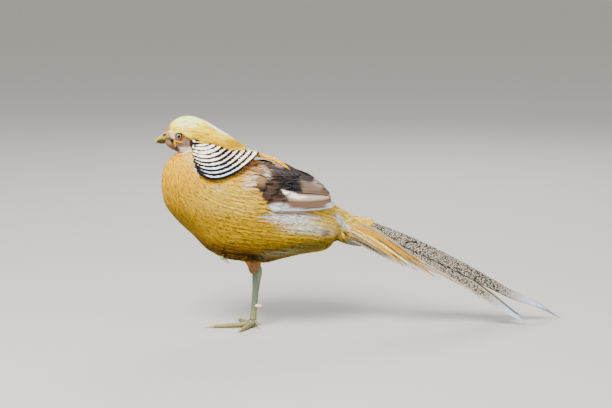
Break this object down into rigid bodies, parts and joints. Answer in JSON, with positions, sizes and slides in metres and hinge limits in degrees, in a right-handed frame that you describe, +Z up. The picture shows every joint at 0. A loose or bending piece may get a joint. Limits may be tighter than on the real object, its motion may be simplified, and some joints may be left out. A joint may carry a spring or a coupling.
{
  "type": "pheasant",
  "caption": "Life-size still model of a yellow golden pheasant cock, standing on one leg, with crest, barred cape, folded wings and a long vaulted tail whose tips rest on the floor.",
  "frame": {"origin": "on the floor, under the pad of the standing right foot", "axes": "+Z up, the bill points to -X and the tail to +X, the bird's left side faces -Y"},
  "size_m": [0.5982, 0.1187, 0.3071],
  "materials": {
    "golden_plumage": "soft golden body feathers",
    "crest_plumage": "silky lemon feathers",
    "cape_plumage": "cream feathers with black bars",
    "wing_plumage": "brown, black, beige and cream feathers",
    "tail_plumage": "grey and black mottled feathers, orange coverts",
    "bill_horn": "satin horn",
    "leg_scales": "satin scales",
    "eye": "wet gloss"
  },
  "bodies": {
    "root": {"head": "crest_plumage", "bill_upper": "bill_horn", "bill_lower": "bill_horn", "eye_left": "eye", "eye_right": "eye", "neck": "cape_plumage", "torso": "golden_plumage", "rump": "golden_plumage", "tail": "tail_plumage", "wing_left": "wing_plumage", "wing_right": "wing_plumage", "thigh_right": "golden_plumage", "shank_right": "leg_scales", "foot_right": "leg_scales", "shank_left": "leg_scales", "foot_left": "leg_scales"}
  },
  "joints": []
}
